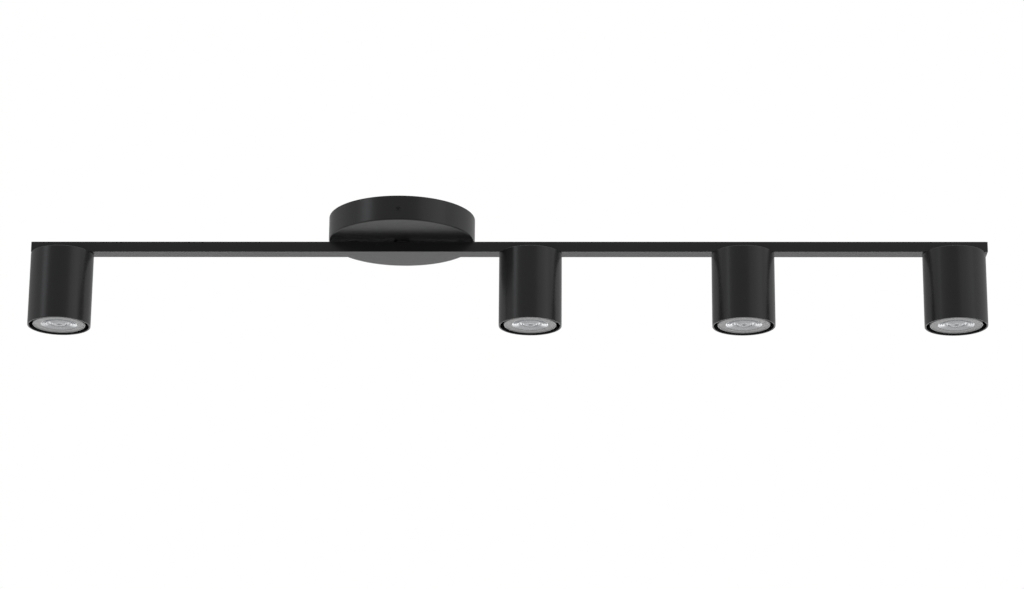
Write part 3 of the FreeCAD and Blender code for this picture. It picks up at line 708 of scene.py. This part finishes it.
class SPOTBAR_OT_strap(bpy.types.Operator):
    """Builds the ceiling strap, the threaded stem with its nut and the twist-on connectors"""

    bl_idname = "spotbar.strap"
    bl_label = "Strap"

    def execute(self, context):
        size = settings().strap
        zinc = bright_zinc()
        finished("ceiling_strap", self.strap(size), "canopy", "zinc_steel", ["mounting_strap"], zinc)
        finished("threaded_stem", self.stem(size), "canopy", "zinc_steel", ["canopy_stem"], zinc)
        finished("stem_lock_nut", self.nut(size), "canopy", "zinc_steel", ["stem_nut"], zinc)
        finished(
            "twist_connectors", self.connectors(size), "canopy", "connector_plastic", ["wire_connectors"],
            moulded_plastic("connector_plastic", (0.72, 0.3, 0.05), 0.4))
        return {"FINISHED"}

    def strap(self, size):
        """A slotted plate whose narrower ends are bent down."""
        low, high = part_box("mounting_strap")
        screws_low, screws_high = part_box("canopy_screws")
        ground = middle("ground_screw")
        inner = high.y - size.sheet
        bent = pulled(outline([
            (low.y, low.z, 0), (low.y, high.z, size.bend), (high.y, high.z, size.bend), (high.y, low.z, 0),
            (inner, low.z, 0), (inner, high.z - size.sheet, size.bend - size.sheet),
            (-inner, high.z - size.sheet, size.bend - size.sheet), (-inner, low.z, 0),
        ]), -size.tab / 2, size.tab)
        reach = inner - size.bend
        plate = block((low.x, -reach, high.z - size.sheet), (high.x, reach, high.z))
        rounded(plate, edges_along(plate, UP), size.corner)
        strap = cut(plate, bent, "UNION")
        below, above = high.z - size.sheet - MM, high.z + MM
        holes = [
            drum(size.stem_hole, below, above, 48),
            drum(size.ground_hole, below, above, 24, (ground.x, ground.y)),
        ]
        straight = (size.slot_length - size.slot_width) / 2
        for side in (-1, 1):
            y = side * size.slot_spacing / 2
            slot = drum(size.slot_width / 2, below, above, 32, (0, y))
            ends = [vertex for vertex in slot.verts if vertex.co.y > y + 1e-7]
            starts = [vertex for vertex in slot.verts if vertex.co.y <= y + 1e-7]
            bmesh.ops.translate(slot, verts=ends, vec=(0, straight, 0))
            bmesh.ops.translate(slot, verts=starts, vec=(0, -straight, 0))
            holes.append(slot)
        across = drum((screws_high.x - screws_low.x) / 2, 2 * low.y, 2 * high.y, 32)
        turned(across, 90, "X")
        holes.append(moved(across, (0, 0, (screws_low.z + screws_high.z) / 2)))
        for hole in holes:
            strap = cut(strap, hole)
        return strap

    def stem(self, size):
        """A hollow threaded stem with a flange at its foot."""
        low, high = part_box("canopy_stem")
        nut_low, nut_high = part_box("stem_nut")
        stem = size.stem_hole - 0.25 * MM
        flange = (high.x - low.x) / 2
        flange_top = low.z + size.flange
        corners = [
            (size.stem_bore, low.z, 0.2 * MM), (flange, low.z, 0.2 * MM),
            (flange, flange_top, 0.2 * MM), (stem, flange_top, 0),
        ]
        count = int((high.z - nut_low.z) / size.thread)
        for turn in range(count):
            crest = nut_low.z + turn * size.thread
            corners.append((stem, crest, 0))
            corners.append((stem - size.thread_depth, crest + size.thread / 2, 0))
        corners += [(stem, high.z, 0.2 * MM), (size.stem_bore, high.z, 0.2 * MM)]
        return spun(corners, steps=64)

    def nut(self, size):
        """A thin hexagon nut with turned corners, over a lock washer."""
        low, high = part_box("stem_nut")
        radius = (high.x - low.x) / 2
        washer_top = low.z + size.washer
        washer = spun([
            (size.stem_hole, low.z, 0), (radius, low.z, 0.1 * MM),
            (radius, washer_top, 0.1 * MM), (size.stem_hole, washer_top, 0),
        ], steps=64)
        corner = size.nut_flats / 2 / math.cos(math.pi / 6)
        face = corner - 1.8 * size.nut_chamfer
        turning = spun([
            (0, washer_top, 0), (face, washer_top, 0), (corner, washer_top + size.nut_chamfer, 0),
            (corner, high.z - size.nut_chamfer, 0), (face, high.z, 0), (0, high.z, 0),
        ], False, 64)
        hexagon = turned(drum(corner * 0.9999, washer_top - MM, high.z + MM, 6), 30, "Z")
        nut = cut(hexagon, turning, "INTERSECT")
        nut = cut(nut, drum(size.stem_hole, washer_top - MM, high.z + MM, 48))
        return joined(nut, washer)

    def connectors(self, size):
        """Three ribbed caps with a smooth collar at the mouth."""
        low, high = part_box("wire_connectors")
        mouth = (high.z - low.z) / 2
        pitch = high.y - mouth
        run = high.x - low.x
        bore = mouth - size.cap_wall
        smallest_side = 4 * MM * MM
        caps = []
        for place in (-1, 0, 1):
            cap = spun([
                (0, run * 0.55, 0), (bore, run * 0.55, 0), (bore, 0, 0.2 * MM), (mouth, 0, 0.3 * MM),
                (mouth * 0.96, run * 0.2, 0.3 * MM), (mouth * 0.86, run * 0.25, 0.2 * MM),
                (mouth * 0.6, run * 0.93, 0.6 * MM), (mouth * 0.45, run, 0.3 * MM), (0, run, 0),
            ], False, 20)
            sides = []
            for face in cap.faces:
                centre = face.calc_center_median()
                outward = centre.xy.length > mouth * 0.6 and face.normal.xy.dot(centre.xy) > 0
                if outward and face.calc_area() > smallest_side and run * 0.4 < centre.z < run * 0.8:
                    sides.append(face)
            bmesh.ops.inset_individual(cap, faces=sides, thickness=0.2 * MM, depth=size.rib)
            turned(cap, -90, "Y")
            caps.append(moved(cap, (high.x, place * pitch, middle("wire_connectors").z)))
        return joined(*caps)


class SPOTBAR_OT_rail(bpy.types.Operator):
    """Builds the rail's channel and its two end caps"""

    bl_idname = "spotbar.rail"
    bl_label = "Rail"

    def execute(self, context):
        size = settings().rail
        low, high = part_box("rail_channel")
        inner = high.y - size.wall
        ledge = inner - size.ledge
        cover_z = high.z - size.cover
        ledge_z = cover_z - size.ledge_height
        floor_z = low.z + size.wall
        half = [
            (high.y, low.z, size.edge), (high.y, high.z, 0.15 * MM), (inner, high.z, 0.15 * MM),
            (inner, cover_z, 0), (ledge, cover_z, 0), (ledge, ledge_z, 0), (inner, ledge_z, 0),
            (inner, floor_z, 0),
        ]
        mirrored = [(-across, height, rounding) for across, height, rounding in reversed(half)]
        channel = pulled(outline(half + mirrored), low.x, high.x - low.x)
        holes = [
            drum(size.stem_hole, low.z - MM, floor_z + 0.5 * MM, 48, (middle(f"head_shell_{number}").x, 0))
            for number in HEADS
        ]
        finished(
            "rail", cut(channel, joined(*holes)), "rail", "rail_black", ["rail_channel"], powder_coat())
        for name, side in (("end_cap_left", -1), ("end_cap_right", 1)):
            self.build_cap(size, name, side)
        return {"FINISHED"}

    def build_cap(self, size, name, side):
        """A plate with rounded outer edges and a plug that enters the channel."""
        low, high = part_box(name)
        outer_x = high.x if side > 0 else low.x
        inner_x = outer_x - side * size.cap_plate
        plate = block((min(outer_x, inner_x), low.y, low.z), (max(outer_x, inner_x), high.y, high.z))
        outer = [edge for edge in plate.edges if all(abs(v.co.x - outer_x) < 1e-6 for v in edge.verts)]
        corners = edges_along(plate, (1, 0, 0))
        rounded(plate, outer + corners, size.edge)
        gap = size.wall + size.plug_gap
        plug_x = low.x if side > 0 else high.x
        plug = block(
            (min(plug_x, inner_x), low.y + gap, low.z + gap),
            (max(plug_x, inner_x), high.y - gap, high.z - gap - size.cover))
        rounded(plug, edges_along(plug, (1, 0, 0)), 0.4 * MM)
        finished(
            f"{name}_cover", joined(plate, plug), "rail", "end_cap_black", [name],
            moulded_plastic("cap_plastic", (0.018, 0.018, 0.019), 0.42))


class SPOTBAR_OT_heads(bpy.types.Operator):
    """Builds the four cylinder shells"""

    bl_idname = "spotbar.heads"
    bl_label = "Heads"

    def execute(self, context):
        size = settings().head
        for number in HEADS:
            node = f"head_shell_{number}"
            low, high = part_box(node)
            radius = (high.x - low.x) / 2
            inner = radius - size.wall
            ceiling = high.z - size.top
            shell = spun([
                (size.stem_hole, high.z, 0),
                (radius, high.z, size.shoulder),
                (radius, low.z, size.rim),
                (inner, low.z, size.rim),
                (inner, ceiling, MM),
                (size.stem_hole, ceiling, 0),
            ], steps=160)
            moved(shell, (middle(node).x, 0, 0))
            finished(f"cylinder_{number}", shell, f"head_{number}", "head_black", [node], powder_coat())
        return {"FINISHED"}


class SPOTBAR_OT_lamps(bpy.types.Operator):
    """Builds the four lamps: housing, frosted window and ringed lens"""

    bl_idname = "spotbar.lamps"
    bl_label = "Lamps"

    def execute(self, context):
        for number in HEADS:
            centre = middle(f"lamp_housing_{number}")
            self.build_housing(number, centre)
            self.build_window(number, centre)
            self.build_optic(number, centre)
        return {"FINISHED"}

    def build_housing(self, number, centre):
        size = settings().lamp
        low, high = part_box(f"lamp_housing_{number}")
        radius = (high.x - low.x) / 2
        mouth = radius - size.bezel
        seat = low.z + size.seat
        waist = low.z + size.waist_height
        rim = low.z + size.rim
        housing = spun([
            (0, high.z, 0),
            (size.base, high.z, MM),
            (size.base, waist + 1.4 * MM, 0.5 * MM),
            (size.waist, waist, 2 * MM),
            (size.belly, low.z + size.belly_height, 8 * MM),
            (radius - 0.4 * MM, rim + 0.6 * MM, MM),
            (radius, rim, 0.3 * MM),
            (radius, low.z, 0.7 * MM),
            (mouth, low.z, 0.4 * MM),
            (mouth, seat, 0),
            (mouth - size.wall, seat, 0),
            (mouth - size.wall, rim + 1.6 * MM, 0),
            (size.waist - MM, waist - size.wall, 0),
            (0, waist - size.wall, 0),
        ], False, 128)
        moved(housing, (centre.x, 0, 0))
        finished(
            f"lamp_body_{number}", housing, f"lamp_{number}", "lamp_plastic", [f"lamp_housing_{number}"],
            moulded_plastic("lamp_plastic", tuple(size.body_colour), 0.4))

    def build_window(self, number, centre):
        """The flat ring of the lens, from the bezel in to the ringed optic."""
        size = settings().lamp
        low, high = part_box(f"lamp_lens_{number}")
        housing_low, housing_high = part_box(f"lamp_housing_{number}")
        radius = (housing_high.x - housing_low.x) / 2
        outer = radius - size.bezel - 0.05 * MM
        inner = size.optic
        window = spun([
            (outer, low.z, 0.3 * MM),
            (outer, high.z, 0),
            (inner, high.z, 0),
            (inner, low.z, 0.4 * MM),
        ], steps=128)
        moved(window, (centre.x, 0, 0))
        finished(
            f"lamp_window_{number}", window, f"lamp_{number}", "lens_plastic", [f"lamp_lens_{number}"],
            frosted_window())

    def build_optic(self, number, centre):
        """The clear lens: slanted rings, inner ones that slant the other way, and a hollow middle."""
        size = settings().lamp
        low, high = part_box(f"lamp_lens_{number}")
        radius = size.optic - 0.1 * MM
        face = low.z + 0.3 * MM
        pit = face + size.pit_depth
        back = face + 3 * MM
        inner = self.rings(size.inner_rings_end, size.inner_rings, 2, face, size.ring_slope)
        outer = self.rings(size.outer_rings, size.optic - 0.2 * MM, 3, face, size.ring_slope)
        lens = spun([
            (0, pit, 0),
            (size.pit - 0.5 * MM, pit, 0.3 * MM),
            (size.pit, face, 0.15 * MM),
            *reversed(inner),
            *outer,
            (radius, face, 0.03 * MM),
            (radius, back, 0),
            (0, back, 0),
        ], False, 128)
        moved(lens, (centre.x, 0, 0))
        piece = finished(
            f"lamp_optic_{number}", lens, f"lamp_{number}", "lens_plastic", [f"lamp_lens_{number}"],
            ringed_optic())
        store_across(piece, centre)

    def rings(self, start, end, count, face, slope):
        """The corners of saw teeth that each rise from a groove to the face, then fall back steeply."""
        pitch = (end - start) / count
        depth = abs(pitch) * math.tan(slope)
        corners = []
        for number in range(count):
            foot = start + number * pitch
            corners.append((foot, face + depth, 0.1 * MM))
            corners.append((foot + pitch * 0.92, face, 0.1 * MM))
        return corners


class SPOTBAR_OT_fittings(bpy.types.Operator):
    """Gives the frame's own inner and upper parts their finishes"""

    bl_idname = "spotbar.fittings"
    bl_label = "Fittings"

    def execute(self, context):
        zinc = bright_zinc()
        finishes = {
            "rail_bridge": zinc,
            "rail_splices": zinc, "head_stems": zinc, "stop_washers": zinc, "head_nuts": zinc,
            "ground_screw": zinc_plate("green_zinc", (0.12, 0.55, 0.2)),
            "swivel_washer": black_nylon(),
            "slip_washers": black_nylon(),
            "rail_cover": powder_coat(),
            "live_lead": insulation("black"),
            "rail_live_wire": insulation("black"),
            "neutral_lead": insulation("white"),
            "rail_neutral_wire": insulation("white"),
            "ground_lead": insulation("green"),
        }
        for number in HEADS:
            finishes[f"holder_bracket_{number}"] = zinc
            finishes[f"holder_screws_{number}"] = zinc
            finishes[f"lamp_pins_{number}"] = zinc
            finishes[f"lampholder_{number}"] = steatite()
            finishes[f"holder_leads_{number}"] = insulation("white")
            finishes[f"led_board_{number}"] = circuit_board()
        for node, material in finishes.items():
            paint_node(node, material)
        return {"FINISHED"}


class SPOTBAR_OT_stage(bpy.types.Operator):
    """Sets up the camera, the pale floor and the soft light"""

    bl_idname = "spotbar.stage"
    bl_label = "Stage"

    def execute(self, context):
        size = settings().stage
        self.set_camera(context, size)
        self.build_floor(size)
        self.light_room(context, size)
        context.scene.view_settings.view_transform = "Standard"
        return {"FINISHED"}

    def set_camera(self, context, size):
        camera = bpy.data.objects.new("camera", bpy.data.cameras.new("camera"))
        context.scene.collection.objects.link(camera)
        camera.data.sensor_width = 36.0
        camera.data.lens = size.camera_lens
        camera.data.clip_end = 200.0
        yaw = Matrix.Rotation(size.camera_yaw, 4, "Z")
        pitch = Matrix.Rotation(math.pi / 2 + size.camera_pitch, 4, "X")
        roll = Matrix.Rotation(size.camera_roll, 4, "Z")
        camera.matrix_world = Matrix.Translation(size.camera_place) @ yaw @ pitch @ roll
        context.scene.camera = camera

    def build_floor(self, size):
        bm = bmesh.new()
        bmesh.ops.create_grid(
            bm, x_segments=1, y_segments=1, size=size.floor_size / 2,
            matrix=Matrix.Translation((0, 0, -size.floor_drop)))
        floor = shape_object("floor", bm)
        paint = new_paint("pale_floor")
        cloud = paint.noise(paint.place(), 0.8, 2.0)
        tone = paint.mixed(cloud, (0.8, 0.8, 0.8), (0.84, 0.84, 0.84))
        floor.data.materials.append(paint.surface(base_color=tone, roughness=0.7))
        floor.visible_glossy = False

    def light_room(self, context, size):
        """A pale room, dimmer in front of the object; the camera sees it white all round."""
        world = bpy.data.worlds.new("room")
        context.scene.world = world
        paint = Paint(world)
        direction = paint.node("ShaderNodeTexCoord")["Generated"]
        parts = paint.node("ShaderNodeSeparateXYZ", None, direction)
        side = parts["Y"].step(-0.93, -0.4)
        rise = size.high_front_light - size.low_front_light
        front = size.low_front_light + parts["Z"].step(0.0, 0.35) * rise
        beside = size.side_light - size.left_drop * (1.0 - parts["X"].step(-0.6, -0.2))
        beside = beside + parts["Y"].step(0.5, 0.85) * (size.rear_light - size.side_light)
        strength = front + side * (beside - front)
        strength = strength - parts["Z"].step(0.05, 0.25) * parts["Y"].step(0.2, 0.6) * size.high_back_drop
        horizon = parts["Z"].step(-0.25, -0.13) * (1.0 - parts["Z"].step(0.0, 0.14))
        strength = strength + horizon * parts["Y"].step(0.8, 0.93) * size.back_light
        corners = (parts["X"] * parts["X"]).step(0.02, 0.1) * parts["Y"].step(0.5, 0.75)
        low = parts["Z"].step(-0.62, -0.42) * (1.0 - parts["Z"].step(0.0, 0.1))
        strength = strength + corners * low * size.back_corners
        seen = paint.node("ShaderNodeLightPath")["Is Camera Ray"]
        strength = strength + seen * (1.0 - strength)
        background = paint.node("ShaderNodeBackground", None, color=(1.0, 1.0, 1.0), strength=strength)
        output = paint.tree.nodes.new("ShaderNodeOutputWorld")
        paint.tree.links.new(background.made.outputs["Background"], output.inputs["Surface"])
        left = self.add_panel(
            context, (-1.0, -0.5, 0.3), (0.7, 1.2), size.left_panel_light, middle("head_shell_1"),
            (0.92, 0.96, 1.0))
        left.spread = math.radians(30)
        self.add_panel(
            context, (1.3, -1.0, 0.35), (1.3, 1.8), size.right_panel_light, middle("head_shell_4"),
            (1.0, 0.99, 0.97))

    def add_panel(self, context, place, extent, power, target, tint):
        light = bpy.data.lights.new("soft_panel", "AREA")
        light.shape = "RECTANGLE"
        light.size, light.size_y = extent
        light.energy = power
        light.color = tint
        lamp = bpy.data.objects.new("soft_panel", light)
        context.scene.collection.objects.link(lamp)
        lamp.location = place
        lamp.rotation_euler = (target - lamp.location).to_track_quat("-Z", "Y").to_euler()
        lamp.visible_camera = False
        return light


STEPS = (
    SPOTBAR_OT_canopy,
    SPOTBAR_OT_strap,
    SPOTBAR_OT_rail,
    SPOTBAR_OT_heads,
    SPOTBAR_OT_lamps,
    SPOTBAR_OT_fittings,
    SPOTBAR_OT_stage,
)


class SPOTBAR_PT_panel(bpy.types.Panel):
    """Lists the steps and the settings"""

    bl_idname = "SPOTBAR_PT_panel"
    bl_label = "Spotlight Bar"
    bl_space_type = "VIEW_3D"
    bl_region_type = "UI"
    bl_category = "Spotlight Bar"

    def draw(self, context):
        for step in STEPS:
            self.layout.operator(step.bl_idname)
        for name in GROUPS:
            box = self.layout.box()
            box.label(text=name.capitalize())
            group = getattr(settings(), name)
            for prop in group.__annotations__:
                box.prop(group, prop)


CLASSES = (*GROUPS.values(), SpotlightBarSettings, *STEPS, SPOTBAR_PT_panel)


def register():
    for cls in CLASSES:
        bpy.utils.register_class(cls)
    bpy.types.Scene.spotlight_bar = bpy.props.PointerProperty(type=SpotlightBarSettings)


def unregister():
    del bpy.types.Scene.spotlight_bar
    for cls in reversed(CLASSES):
        bpy.utils.unregister_class(cls)


def main():
    register()
    for step in STEPS:
        area, name = step.bl_idname.split(".")
        getattr(getattr(bpy.ops, area), name)()


if __name__ == "__main__":
    main()
